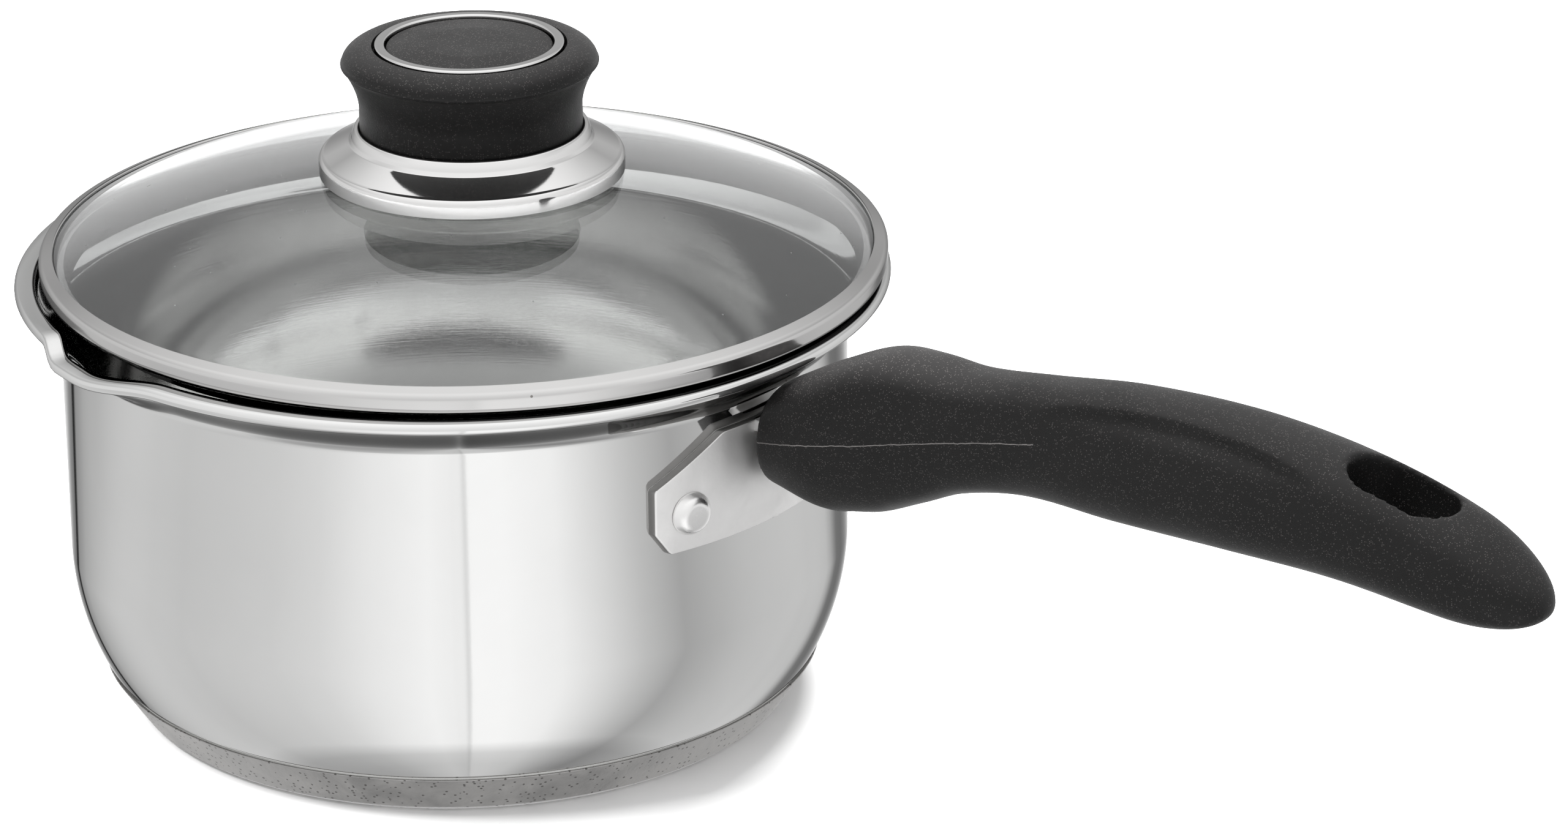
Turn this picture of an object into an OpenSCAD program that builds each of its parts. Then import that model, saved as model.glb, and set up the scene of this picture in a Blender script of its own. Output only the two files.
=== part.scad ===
// Saucepan with a pour spout, a phenolic handle and a banded glass lid.
// Millimetres. The pan stands on Z = 0 with its axis on Z, and the handle runs along +X.

/* [Pan] */
// Outside diameter of the pan's straight wall
body_d = 160; // [130:1:220]
// Height from the underside to the top of the rolled rim
pan_h = 91; // [75:1:150]
// Thickness of the drawn steel sheet
wall_t = 0.7; // [0.5:0.1:1.2]
// Radius of the long curve that draws the wall in towards the base
belly_r = 50; // [40:1:70]
// Height of the point where that long curve begins
belly_z = 34; // [28:1:38]

/* [Rim and spout] */
// How far the rolled rim stands out from the wall
rim_reach = 8.9; // [8:0.1:12]
// Width of the rolled bead
bead_w = 4.3; // [3.5:0.1:5]
// Height of the rolled bead
bead_h = 2.7; // [2:0.1:4]
// Height over which the wall flares out below the bead
flare_h = 8; // [6:0.5:12]
// Direction of the pour spout, turned from the handle about Z
spout_angle = -108; // [-140:1:-80]
// Half of the stretch of rim that the spout takes up, in degrees
spout_half = 12; // [9:1:20]
// How far the spout pushes the rim outwards
spout_out = 1.6; // [0.5:0.1:4]
// How far the spout dips below the rim
spout_dip = 2.5; // [1:0.1:4]

/* [Base] */
// Height of the groove where the base cap ends
base_h = 9.6; // [8:0.1:12]
// Thickness of the base cap
cap_t = 0.6; // [0.4:0.1:1]
// Thickness of the aluminium core at its middle
core_t = 4.8; // [3:0.1:5.5]
// How far the flat underside lies inside the straight wall
foot_inset = 12; // [8:0.5:16]

/* [Bracket] */
// Thickness of the bracket plate
bracket_t = 1.9; // [1.2:0.1:3]
// Half of the bracket's width across its wings
wing_half = 31.3; // [26:0.1:40]
// How far the bracket's lower edge lies below the rim
wing_drop = 35.7; // [32:0.1:38]
// Height of the bracket's plate at its middle
wing_h = 22.6; // [20:0.1:30]
// Distance from the handle's middle line to each rivet
rivet_half = 23.1; // [18:0.1:26]
// Diameter of a rivet's domed head
rivet_head_d = 8.8; // [6:0.1:10]
// Diameter of a rivet's shank
rivet_d = 4; // [3:0.1:5]
// Width of the tongue that enters the handle
tang_w = 14; // [10:0.5:16]
// Length of that tongue from the wall
tang_len = 44; // [30:1:60]
// Thickness of the tongue
tang_t = 2.4; // [2:0.1:3]

/* [Handle] */
// Gap from the pan's wall to the handle's front face
handle_gap = 5; // [4:0.5:12]
// Length of the handle from its front face to its tip
handle_len = 171; // [140:1:220]
// Full width of the handle where the palm holds it
grip_w = 26; // [21:0.5:32]
// Depth of the finger hollow in each side
dish_depth = 1.3; // [0:0.1:2]
// Length of the hanging hole
hang_len = 22; // [18:0.5:32]
// Width of the hanging hole
hang_w = 14; // [8:0.5:16]
// Distance from the tip to the middle of the hanging hole
hang_back = 31.5; // [24:0.5:44]
// Diameter of the screw that holds the handle
grip_screw_d = 5; // [4:0.5:6]
// Distance from the handle's front face to that screw
grip_screw_x = 20; // [14:1:28]

/* [Lid] */
// How far the lid's steel band lies inside the rim's outer edge
band_inset = 2.9; // [2.5:0.1:4]
// Thickness of the band's sheet
band_t = 0.5; // [0.4:0.1:0.8]
// How far the skirt that drops inside the rim lies inside the straight wall
skirt_inset = 0.2; // [0:0.1:3]
// Depth of that skirt below the band's lowest point
skirt_h = 3.6; // [2:0.1:4]
// Radius of the glass dome's upper face
dome_r = 211; // [180:1:320]
// Thickness of the glass
glass_t = 3.2; // [2.8:0.1:4]
// Gap round the knob's screw in the hole through the glass
glass_hole_play = 1.1; // [0.6:0.1:2]
// How far the loose lid lies off the pan's axis along X
lid_x = 1.8; // [-2:0.1:2]
// How far the loose lid lies off the pan's axis along Y
lid_y = 1.4; // [-2:0.1:2]

/* [Knob] */
// How far the knob sits off the lid's axis along X, in the play of its screw hole and collar
knob_x = 1.6; // [-2:0.1:2]
// How far the knob sits off the lid's axis along Y
knob_y = 1.2; // [-2:0.1:2]
// Widest diameter of the knob
knob_d = 52; // [44:1:64]
// How far the knob's waist lies inside its widest edge
cove_depth = 3.5; // [2:0.5:6]
// Height of the knob from its seat to its top
knob_h = 19; // [16:0.5:26]
// How far the steel collar stands out from the knob's waist
collar_reach = 8.4; // [6:0.1:12]
// Height of the collar from the glass to its seat
collar_h = 8.2; // [6:0.1:12]
// Thickness of the collar's sheet
collar_t = 0.6; // [0.4:0.1:1]
// How far the steel ring in the knob's top lies inside the knob's widest edge
ring_inset = 6.9; // [5:0.1:9]
// Width of that ring
ring_w = 2.1; // [1.5:0.1:3]
// Diameter of the screw that clamps the knob to the glass
knob_screw_d = 5; // [4:0.5:6]

/* [Hidden] */
$fn = 128;

seat = 0.03;        // gap between pieces that are pressed or clamped together
running = 0.35;     // gap between the lid and the pan
eps = 0.01;         // overshoot that keeps a cut clean
body_r = body_d / 2;
rim_r = body_r + rim_reach;
wing_z = pan_h - wing_drop;
rivet_angle = asin(rivet_half / body_r);
waist_r = knob_d / 2 - cove_depth;
collar_r = waist_r + collar_reach;
ring_r = knob_d / 2 - ring_inset;
knob_off = norm([knob_x, knob_y]);

// ---- helpers ----
// Points of an arc from angle a0 to a1, in degrees
function arc(cx, cy, r, a0, a1, n) =
    [for (i = [0:n]) let (a = a0 + (a1 - a0) * i / n) [cx + r * cos(a), cy + r * sin(a)]];
function reverse(p) = [for (i = [len(p) - 1:-1:0]) p[i]];
function unit(v) = v / norm(v);
function left_of(v) = [-v[1], v[0]];
// Shift of point i of an open path by t to its left, mitred at the corners
function shifted(p, i, t) =
    let (a = i > 0 ? left_of(unit(p[i] - p[i - 1])) : left_of(unit(p[1] - p[0])),
         b = i < len(p) - 1 ? left_of(unit(p[i + 1] - p[i])) : a,
         m = unit(a + b))
    p[i] + m * t / (m * a);
// Closed outline of a sheet of thickness t laid on the left of an open path
function sheet(p, t) = concat(p, reverse([for (i = [0:len(p) - 1]) shifted(p, i, t)]));
function clamp01(x) = min(1, max(0, x));
function smooth(x) = let (k = clamp01(x)) k * k * (3 - 2 * k);
function signed_pow(x, q) = sign(x) * pow(abs(x), q);
// Value at x on a smooth curve through the rows [x, value...], column c
function segment(rows, x, i = 0) = i >= len(rows) - 2 || x < rows[i + 1][0] ? i : segment(rows, x, i + 1);
function slope(rows, i, c) =
    let (a = max(0, i - 1), b = min(len(rows) - 1, i + 1))
    (rows[b][c] - rows[a][c]) / (rows[b][0] - rows[a][0]);
function along(rows, x, c) =
    let (i = segment(rows, x), w = rows[i + 1][0] - rows[i][0], t = (x - rows[i][0]) / w,
         p = rows[i][c], q = rows[i + 1][c], m = slope(rows, i, c) * w, n = slope(rows, i + 1, c) * w)
    (2 * t * t * t - 3 * t * t + 1) * p + (t * t * t - 2 * t * t + t) * m
    + (3 * t * t - 2 * t * t * t) * q + (t * t * t - t * t) * n;
// Solid skinned over rings of points, with flat ends
module skin(rings) {
    n = len(rings[0]);
    last = (len(rings) - 1) * n;
    polyhedron(
        points = [for (ring = rings) for (p = ring) p],
        faces = concat(
            [[for (k = [0:n - 1]) k]],
            [[for (k = [n - 1:-1:0]) last + k]],
            [for (j = [0:len(rings) - 2]) for (k = [0:n - 1])
                [j * n + k, (j + 1) * n + k, j * n + (k + 1) % n]],
            [for (j = [0:len(rings) - 2]) for (k = [0:n - 1])
                [j * n + (k + 1) % n, (j + 1) * n + k, (j + 1) * n + (k + 1) % n]]));
}
module turned(outline) rotate_extrude() polygon(outline);

// ---- pan: heights and curves that its pieces share ----
bottom_z = cap_t + core_t;                       // underside of the pan's own floor
groove_z = base_h + 0.8;                         // where the tight corner meets the long curve
belly_a = asin((belly_z - groove_z) / belly_r);  // slope of the wall at the groove
groove_r = body_r - belly_r * (1 - cos(belly_a));
corner_r = (groove_z - bottom_z) / (1 - sin(belly_a));
corner_x = groove_r - corner_r * cos(belly_a);
corner_z = bottom_z + corner_r;
bead_z = pan_h - bead_h;
flare_z = bead_z - flare_h;
bead_in = rim_r - bead_w;
// Outside radius of the wall's corner at height z
function corner_at(z) = corner_x + sqrt(corner_r * corner_r - (corner_z - z) * (corner_z - z));

// Outside of the wall from the middle of the floor to the start of the flare
wall_path = concat([[0, bottom_z]],
    arc(corner_x, corner_z, corner_r, -90, -belly_a, 8),
    arc(body_r - belly_r, belly_z, belly_r, -belly_a + 2, 0, 8));

// Outline of the flare and its rolled bead, pushed out and down by the share k of the spout
function flare_side(r, k) =
    [for (i = [0:7]) let (t = i / 7)
        [r + (bead_in - body_r + wall_t) * smooth(0.8 * t) / smooth(0.8) + spout_out * k * smooth(t),
         flare_z + t * flare_h - spout_dip * k * smooth(t)]];
function moved(points, k) = [for (p = points) [p[0] + spout_out * k, p[1] - spout_dip * k]];
function flare_outline(k) = concat(
    flare_side(body_r, k),
    moved(arc(rim_r - bead_h / 2, bead_z + bead_h / 2, bead_h / 2, -90, 60, 6), k),
    moved(arc(bead_in + 1, pan_h - 1, 1, 90, 180, 4), k),
    reverse(flare_side(body_r - wall_t, k)));
// How strongly the spout acts at a given angle from its middle
function spout_push(a) = smooth((spout_half - abs(a)) / (spout_half * 0.62));

module rim_wedge(from, to) {
    far = rim_r * 1.3;
    rotate([0, 0, spout_angle]) translate([0, 0, flare_z])
        linear_extrude(pan_h)
            polygon([[0, 0], [far * cos(from), far * sin(from)], [far * cos(to), far * sin(to)]]);
}
module spout() {
    steps = 9;
    width = 2 * spout_half / steps;
    for (i = [0:steps - 1]) let (from = -spout_half + i * width)
        intersection() {
            turned(flare_outline(spout_push(from + width / 2)));
            rim_wedge(from, from + width);
        }
}

// ---- pan ----
module pan_body() color("lightgray") {
    difference() {
        union() {
            difference() {
                turned(concat(wall_path, flare_outline(0),
                    reverse([for (i = [0:len(wall_path) - 1]) shifted(wall_path, i, wall_t)])));
                rim_wedge(-spout_half, spout_half);
            }
            spout();
        }
        at_rivets() rivet_hole();
    }
}
cap_foot_r = body_r - foot_inset;             // inside radius of the cap at its foot
cap_top_r = corner_at(base_h) + seat;         // inside radius of the cap's upper edge
core_play = 0.15;                             // gap between the core and the sheets round it
module base_core() color("silver") {
    side = (cap_top_r - cap_foot_r) / (base_h - cap_t);
    edge_z = bottom_z + 1.2;
    edge_a = acos((corner_z - edge_z) / (corner_r + core_play));
    turned(concat(
        [[0, cap_t + seat], [cap_foot_r - core_play, cap_t + seat],
         [cap_foot_r - core_play + side * (edge_z - 0.6 - cap_t), edge_z - 0.6]],
        reverse(arc(corner_x, corner_z, corner_r + core_play, -90, -90 + edge_a, 5)),
        [[0, bottom_z - core_play]]));
}
module base_cap() color("gray") {
    rise = base_h - cap_t;
    turned(concat(
        [[0, 0], [cap_foot_r - 1.2, 0], [cap_foot_r + 0.2, 0.35], [cap_foot_r + cap_t, 1.4],
         [cap_top_r + cap_t, base_h - 0.4], [cap_top_r + cap_t - 0.2, base_h], [cap_top_r, base_h],
         [cap_foot_r, cap_t], [0, cap_t]]));
}

// ---- bracket and rivets ----
plate_in = body_r + seat;
plate_out = plate_in + bracket_t;
rivet_z = wing_z + 7.7;
tang_z = wing_z + wing_h - tang_t;    // underside of the tongue, level with the plate's top
screw_seat_z = tang_z - 7;            // where the handle screw's head bears
module at_rivets()
    for (side = [-1, 1]) rotate([0, 0, side * rivet_angle]) translate([0, 0, rivet_z]) rotate([0, 90, 0]) children();
module rivet_hole() translate([0, 0, body_r - 8]) cylinder(r = rivet_d / 2 + seat, h = 16);
module handle_bracket() color("darkgray") {
    difference() {
        union() {
            intersection() {
                difference() {
                    cylinder(r = plate_out, h = pan_h);
                    translate([0, 0, -eps]) cylinder(r = plate_in, h = pan_h + 1);
                }
                rotate([90, 0, 90]) linear_extrude(body_r + 20) wing_outline();
            }
            translate([plate_in + 0.6, -tang_w / 2, tang_z])
                cube([tang_len - tang_w / 2, tang_w, tang_t]);
            translate([plate_in + 0.6 + tang_len - tang_w / 2, 0, tang_z])
                cylinder(r = tang_w / 2, h = tang_t);
        }
        at_rivets() rivet_hole();
        translate([screw_x, 0, tang_z - eps]) cylinder(r = grip_screw_d / 2 + seat, h = tang_t + 1);
    }
}
module wing_outline() {
    chamfer = 3.2;
    side_h = 14;
    top_half = 14;
    top_r = 2.5;
    top = wing_z + wing_h;
    polygon(concat(
        [[-wing_half + chamfer, wing_z], [wing_half - chamfer, wing_z], [wing_half, wing_z + chamfer + 1.5],
         [wing_half, wing_z + side_h]],
        arc(top_half, top - top_r, top_r, 50, 90, 3), arc(-top_half, top - top_r, top_r, 90, 130, 3),
        [[-wing_half, wing_z + side_h], [-wing_half, wing_z + chamfer + 1.5]]));
}
module bracket_rivets() color("gainsboro") at_rivets() {
    inner = body_r - wall_t - 0.15;
    head_h = 2.3;
    head_r = (pow(rivet_head_d / 2, 2) + head_h * head_h) / (2 * head_h);
    edge_a = asin(rivet_head_d / 2 / head_r);
    translate([0, 0, inner - eps]) cylinder(r = rivet_d / 2, h = plate_out - inner + 0.1);
    translate([0, 0, plate_out + seat])
        turned(concat([[0, 0]], arc(0, head_h - head_r, head_r, 90 - edge_a, 90, 8)));
    translate([0, 0, inner - 1.2]) turned([[0, 0], [3.4, 0], [4, 0.5], [4, 1.2], [0, 1.2]]);
}

// ---- handle ----
front_x = body_r + handle_gap;
screw_x = front_x + grip_screw_x;
hang_x = front_x + handle_len - hang_back;
// The handle's side view and plan: [share of its length, half width as a share of the grip's,
// underside and top measured from the bracket's lower edge]
grip_rows = [
    [0.00, 0.89, 8.5, 29.6],
    [0.07, 1.01, 6.0, 36.2],
    [0.14, 1.00, 8.2, 41.4],
    [0.20, 0.90, 12.6, 42.2],
    [0.26, 0.82, 17.2, 41.8],
    [0.35, 0.82, 20.4, 43.6],
    [0.47, 0.92, 20.4, 46.3],
    [0.62, 1.00, 21.1, 46.8],
    [0.76, 1.00, 21.4, 44.0],
    [0.88, 0.93, 19.7, 38.8],
    [1.00, 0.80, 18.0, 30.0]];
tip_len = 20;       // stretch over which the tip rounds off
function tip_share(x) =
    let (k = clamp01((x - handle_len + tip_len) / tip_len)) sqrt(max(0.0004, 1 - pow(k, 2.6)));
function dish(x, a) =
    dish_depth * exp(-pow((x / handle_len - 0.56) / 0.16, 2)) * exp(-pow((a - 22) / 26, 2));
// Power that squares the handle's section; its lower half is rounder near the front
function squareness(x, a) = a > 180 ? 1 - 0.2 * smooth(x / 40) : 0.8;
function grip_ring(x) =
    let (s = x / handle_len, k = tip_share(x), w = grip_w / 2 * along(grip_rows, s, 1) * k,
         lo = along(grip_rows, s, 2), hi = along(grip_rows, s, 3),
         mid = wing_z + (lo + hi) / 2, h = (hi - lo) / 2 * k, n = 28)
    [for (i = [0:n - 1])
        let (a = 360 * i / n, b = a > 90 && a < 270 ? 180 - a : (a >= 270 ? a - 360 : a), q = squareness(x, a))
        [front_x + x, signed_pow(cos(a), q) * (w - dish(x, b)), mid + h * signed_pow(sin(a), q)]];
module handle_grip() color("#2b2a2a") {
    body_steps = 30;
    tip_steps = 9;
    flat_len = handle_len - tip_len;
    difference() {
        skin(concat(
            [for (i = [0:body_steps]) grip_ring(flat_len * i / body_steps)],
            [for (i = [1:tip_steps]) grip_ring(flat_len + tip_len * sin(90 * i / tip_steps))]));
        hang_hole();
        tang_pocket();
        translate([screw_x, 0, wing_z - 10]) cylinder(r = grip_screw_d + 0.4, h = screw_seat_z - wing_z + 10);
        translate([screw_x, 0, wing_z]) cylinder(r = grip_screw_d / 2 + 0.3, h = tang_z - wing_z + 10);
    }
}
module hang_hole() {
    run = hang_len - hang_w;
    deep = 60;
    translate([hang_x, 0, wing_z]) {
        for (side = [-1, 1]) translate([side * run / 2, 0, 0]) cylinder(r = hang_w / 2, h = deep);
        translate([-run / 2, -hang_w / 2, 0]) cube([run, hang_w, deep]);
    }
}
module tang_pocket() {
    slack = 0.15;
    end_x = plate_in + 0.6 + tang_len + slack;
    translate([front_x - 1, -tang_w / 2 - slack, tang_z - slack])
        cube([end_x - front_x + 1, tang_w + 2 * slack, tang_t + 2 * slack]);
}
module handle_screw() color("silver") {
    head_z = screw_seat_z - seat;
    head_h = 3;
    difference() {
        union() {
            translate([screw_x, 0, head_z - head_h]) cylinder(r = grip_screw_d, h = head_h);
            translate([screw_x, 0, head_z - eps]) cylinder(r = grip_screw_d / 2, h = tang_z - head_z + tang_t + 4);
        }
        for (turn = [0, 90])
            translate([screw_x, 0, head_z - head_h]) rotate([0, 0, turn]) cube([6, 1, 2.4], center = true);
    }
}

// ---- lid: heights that its pieces share ----
band_r = rim_r - band_inset;
skirt_r = body_r - skirt_inset;
glass_hole_r = knob_screw_d / 2 + glass_hole_play;
lip_gap = 2 * seat;                   // gap between the band's upper lip and the glass
low_z = pan_h + running;              // lowest point of the band, over the pan's rim
glass_r = band_r - band_t - 0.9;      // radius of the glass
lip_r = band_r - 2.7;                 // inner edge of the band's upper lip
glass_edge_z = low_z + band_t + 0.25; // lower edge of the glass
dome_z = glass_edge_z - sqrt(pow(dome_r - glass_t, 2) - glass_r * glass_r);
function glass_top(r) = dome_z + sqrt(dome_r * dome_r - r * r);
function glass_under(r) = dome_z + sqrt(pow(dome_r - glass_t, 2) - r * r);
seat_z = glass_top(collar_r) + collar_h;  // where the knob stands on the collar
module on_lid() translate([lid_x, lid_y, 0]) children();
module on_knob() on_lid() translate([knob_x, knob_y, 0]) children();

band_path = concat(
    [[lip_r, glass_top(lip_r) + lip_gap + band_t]],
    arc(band_r - 1.3, glass_top(band_r - 1.3) + lip_gap + band_t - 1.3, 1.3, 72, 0, 5),
    arc(band_r - 1.9, low_z + 1.9, 1.9, -12, -80, 6),
    [[skirt_r + 1, low_z + 0.5], [skirt_r + 0.25, low_z + 0.35], [skirt_r, low_z - 0.1], [skirt_r, low_z - skirt_h]]);
module lid_band() color("lightgray") on_lid() turned(sheet(band_path, -band_t));
module lid_glass() color([0.75, 0.82, 0.82, 0.4]) on_lid() {
    n = 24;
    difference() {
        turned(concat(
            [for (i = [0:n]) let (r = glass_r * i / n) [r, glass_under(r)]],
            [for (i = [n:-1:0]) let (r = glass_r * i / n) [r, glass_top(r)]]));
        translate([knob_x, knob_y, pan_h]) cylinder(r = glass_hole_r, h = dome_r);
    }
}
module glass_seal() color("#3a3a3a") on_lid() {
    inner = band_r - 3.4;
    outer = band_r - band_t - 2 * seat;
    curl = 1.9 - band_t - 2 * seat;
    top = glass_top(glass_r) - 0.9;
    turned(concat(
        [[inner, low_z + band_t + 0.3]],
        arc(outer - curl, low_z + 1.9, curl, -82, 0, 6),
        [[outer, top], [glass_r + 2 * seat, top], [glass_r + 2 * seat, glass_edge_z - seat],
         [glass_r - 0.2, glass_edge_z - seat], [inner, glass_under(inner) - 2 * seat]]));
}

// ---- knob ----
collar_path = concat(
    [[knob_screw_d / 2 + 0.3, seat_z], [waist_r - 0.1, seat_z]],
    arc(waist_r + 0.6, seat_z + 0.9, 0.6, 180, 20, 6),
    [[waist_r + 1.7, seat_z - 0.3], [waist_r + 2.9, seat_z - 0.27 * collar_h]],
    arc(collar_r - 1.1, seat_z - 0.55 * collar_h, 1.1, 60, 0, 4),
    [[collar_r, glass_top(collar_r - collar_t - knob_off) + seat]]);
module knob_collar() color("gainsboro") on_knob() turned(sheet(collar_path, -collar_t));
module knob_spacer() color("#202020") on_knob() {
    foot = glass_top(0) + seat;
    translate([0, 0, foot]) difference() {
        cylinder(r = 9, h = seat_z - collar_t - seat - foot);
        translate([0, 0, -1]) cylinder(r = knob_screw_d / 2 + 0.3, h = 20);
    }
}
module knob_body() color("#242323") on_knob() {
    wide = knob_d / 2;
    recess_r = ring_r + 0.4;
    top = seat_z + knob_h;
    edge_z = top - 4.4;
    cove_z = top - 13.4;
    difference() {
        turned(concat(
            [[0, seat_z + seat], [waist_r - 0.9, seat_z + seat], [waist_r - 0.6, seat_z + 0.4]],
            [for (i = [0:8]) let (t = i / 8)
                [waist_r - 0.1 + (wide - waist_r - 0.35) * pow(t, 1.9), cove_z + (edge_z - 0.3 - cove_z) * t]],
            [for (i = [0:8]) let (a = 90 * i / 8)
                [recess_r + (wide - recess_r) * cos(a), edge_z + (top - 0.4 - edge_z) * sin(a)]],
            [[recess_r, top - 2.4], [0, top - 2.4]]));
        translate([0, 0, seat_z - 1]) cylinder(r = insert_r, h = insert_h + 1);
    }
}
module knob_ring() color("gainsboro") on_knob() {
    top = seat_z + knob_h;
    floor_z = top - 2.4 + seat;
    turned([[ring_r - ring_w, floor_z], [ring_r, floor_z], [ring_r, top - 0.3], [ring_r - 0.4, top],
        [ring_r - ring_w + 0.4, top], [ring_r - ring_w, top - 0.3]]);
}
module knob_cap() color("#262525") on_knob() {
    r = ring_r - ring_w - 0.15;
    top = seat_z + knob_h;
    turned([[0, top - 2.4 + seat], [r, top - 2.4 + seat], [r, top - 0.75], [r - 0.5, top - 0.4],
        [r * 0.6, top - 0.25], [0, top - 0.2]]);
}
insert_r = 4.4;
insert_h = 12;
module knob_insert() color("#b5953e") on_knob() translate([0, 0, seat_z + seat]) difference() {
    cylinder(r = insert_r - seat, h = insert_h - 0.5);
    translate([0, 0, -1]) cylinder(r = knob_screw_d / 2 + seat, h = insert_h);
}
washer_r = 9;
washer_z = glass_under(washer_r + knob_off) - 0.05;     // upper face of the soft washer
soft_t = 1.2;
steel_t = 1;
module seal_washer() color("#e8e8e8") on_knob()
    translate([0, 0, washer_z - soft_t]) washer(washer_r, soft_t);
module screw_washer() color("silver") on_knob()
    translate([0, 0, washer_z - soft_t - seat - steel_t]) washer(washer_r - 1, steel_t);
module washer(r, t) difference() {
    cylinder(r = r, h = t);
    translate([0, 0, -1]) cylinder(r = knob_screw_d / 2 + 0.3, h = t + 2);
}
module knob_screw() color("silver") on_knob() {
    under = washer_z - soft_t - steel_t - 2 * seat;
    head_h = 2.6;
    r = knob_screw_d / 2;
    difference() {
        union() {
            translate([0, 0, under]) cylinder(r = r, h = seat_z + insert_h - 2 - under);
            translate([0, 0, under - head_h])
                turned([[0, 0], [r + 1.2, 0], [r + 2.1, 0.8], [r + 2.1, head_h + eps], [0, head_h + eps]]);
        }
        for (turn = [0, 90])
            translate([0, 0, under - head_h]) rotate([0, 0, turn]) cube([6, 1, 2.6], center = true);
    }
}

pan_body();
base_core();
base_cap();
handle_bracket();
bracket_rivets();
handle_grip();
handle_screw();
lid_band();
lid_glass();
glass_seal();
knob_collar();
knob_spacer();
knob_body();
knob_ring();
knob_cap();
knob_insert();
knob_screw();
screw_washer();
seal_washer();
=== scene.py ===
"""Looks of a saucepan with a banded glass lid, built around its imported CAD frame.

Metres, +Z up. The pan stands on Z = 0 with its axis on Z, and the handle runs along +X.
"""

import math

import bmesh
import bpy
from mathutils import Matrix, Vector


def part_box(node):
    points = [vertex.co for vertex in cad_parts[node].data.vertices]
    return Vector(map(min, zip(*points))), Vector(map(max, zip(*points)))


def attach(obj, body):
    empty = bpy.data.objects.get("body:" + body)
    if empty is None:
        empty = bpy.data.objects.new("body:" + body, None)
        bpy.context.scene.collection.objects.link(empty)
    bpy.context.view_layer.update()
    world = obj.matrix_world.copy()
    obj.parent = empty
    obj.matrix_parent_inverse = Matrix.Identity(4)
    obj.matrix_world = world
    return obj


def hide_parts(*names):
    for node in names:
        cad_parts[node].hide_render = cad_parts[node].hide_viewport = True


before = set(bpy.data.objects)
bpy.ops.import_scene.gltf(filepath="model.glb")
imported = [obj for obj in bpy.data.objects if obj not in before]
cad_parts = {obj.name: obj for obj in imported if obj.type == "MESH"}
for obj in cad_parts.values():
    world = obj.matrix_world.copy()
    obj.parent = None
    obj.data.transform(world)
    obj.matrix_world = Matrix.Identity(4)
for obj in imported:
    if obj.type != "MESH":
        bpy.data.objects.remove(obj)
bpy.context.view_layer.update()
scene = bpy.context.scene
MM = 0.001
FULL_TURN = 2 * math.pi
MERGE = 0.002 * MM   # points nearer than this are one point
SEAT = 0.03 * MM     # clearance between pieces that seat on each other
ROUND = 192          # steps round a turned piece
FINE_ROUND = 360     # steps round a wide turned piece with mirror finish


# ---- sizes that pieces share, from the frame and from named values ----
def corner(node, high, axis):
    """One coordinate of a CAD node's box: axis 0, 1 or 2, at its low or high end."""
    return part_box(node)[high][axis]


WALL = 0.7 * MM
PAN_TOP = corner("pan_body", 1, 2)
RIM_R = -corner("pan_body", 0, 0)
RIM_REACH = 8.9 * MM
BODY_R = RIM_R - RIM_REACH
BEAD_W = 4.3 * MM
BEAD_H = 2.7 * MM
FLARE_H = 8 * MM
BELLY_R = 50 * MM
BELLY_Z = 34 * MM
CAP_TOP = corner("base_cap", 1, 2)
CAP_T = 0.6 * MM
FLOOR_Z = 5.4 * MM

BAND_R = (corner("lid_band", 1, 0) - corner("lid_band", 0, 0)) / 2
LID_X = (corner("lid_band", 1, 0) + corner("lid_band", 0, 0)) / 2
LID_Y = (corner("lid_band", 1, 1) + corner("lid_band", 0, 1)) / 2
SKIRT_FOOT = corner("lid_band", 0, 2)
SKIRT_H = 3.6 * MM
BAND_LOW = SKIRT_FOOT + SKIRT_H
BAND_T = 0.5 * MM
GLASS_R = (corner("lid_glass", 1, 0) - corner("lid_glass", 0, 0)) / 2
GLASS_T = 3.2 * MM
GLASS_EDGE_Z = corner("lid_glass", 0, 2)
GLASS_HOLE_R = 5.6 * MM
DOME_R = 211 * MM
DOME_Z = GLASS_EDGE_Z - math.sqrt((DOME_R - GLASS_T) ** 2 - GLASS_R ** 2)
SEAT_Z = corner("knob_body", 0, 2)
KNOB_TOP = corner("knob_ring", 1, 2)
KNOB_R = (corner("knob_body", 1, 0) - corner("knob_body", 0, 0)) / 2
KNOB_X = (corner("knob_body", 1, 0) + corner("knob_body", 0, 0)) / 2
KNOB_Y = (corner("knob_body", 1, 1) + corner("knob_body", 0, 1)) / 2
KNOB_OFF = math.hypot(KNOB_X - LID_X, KNOB_Y - LID_Y)
COLLAR_R = (corner("knob_collar", 1, 0) - corner("knob_collar", 0, 0)) / 2
RING_R = (corner("knob_ring", 1, 0) - corner("knob_ring", 0, 0)) / 2
RING_W = 2.1 * MM
GRIP_FRONT = corner("handle_grip", 0, 0)
GRIP_TIP = corner("handle_grip", 1, 0)
WING_Z = corner("handle_bracket", 0, 2)


# ---- camera and light ----
CAMERA_AT = Vector((0.75099, -0.89500, 0.52528))
CAMERA_RIGHT = Vector((0.80285, 0.59616, -0.00523))
CAMERA_UP = Vector((-0.21792, 0.30160, 0.92820))
FORWARD_TURN = math.radians(126.72)
LENS_MM = 140.6
SENSOR_MM = 36
FLOOR_R = 6
# Each lamp's name, place, target, size and power
LAMPS = [
    ("key", (-0.6, -0.9, 1.6), (0, 0, 0.05), 0.9, 50),
    ("back", (-0.1, 0.9, 1.7), (0.1, 0, 0.08), 0.7, 50)]


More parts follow.
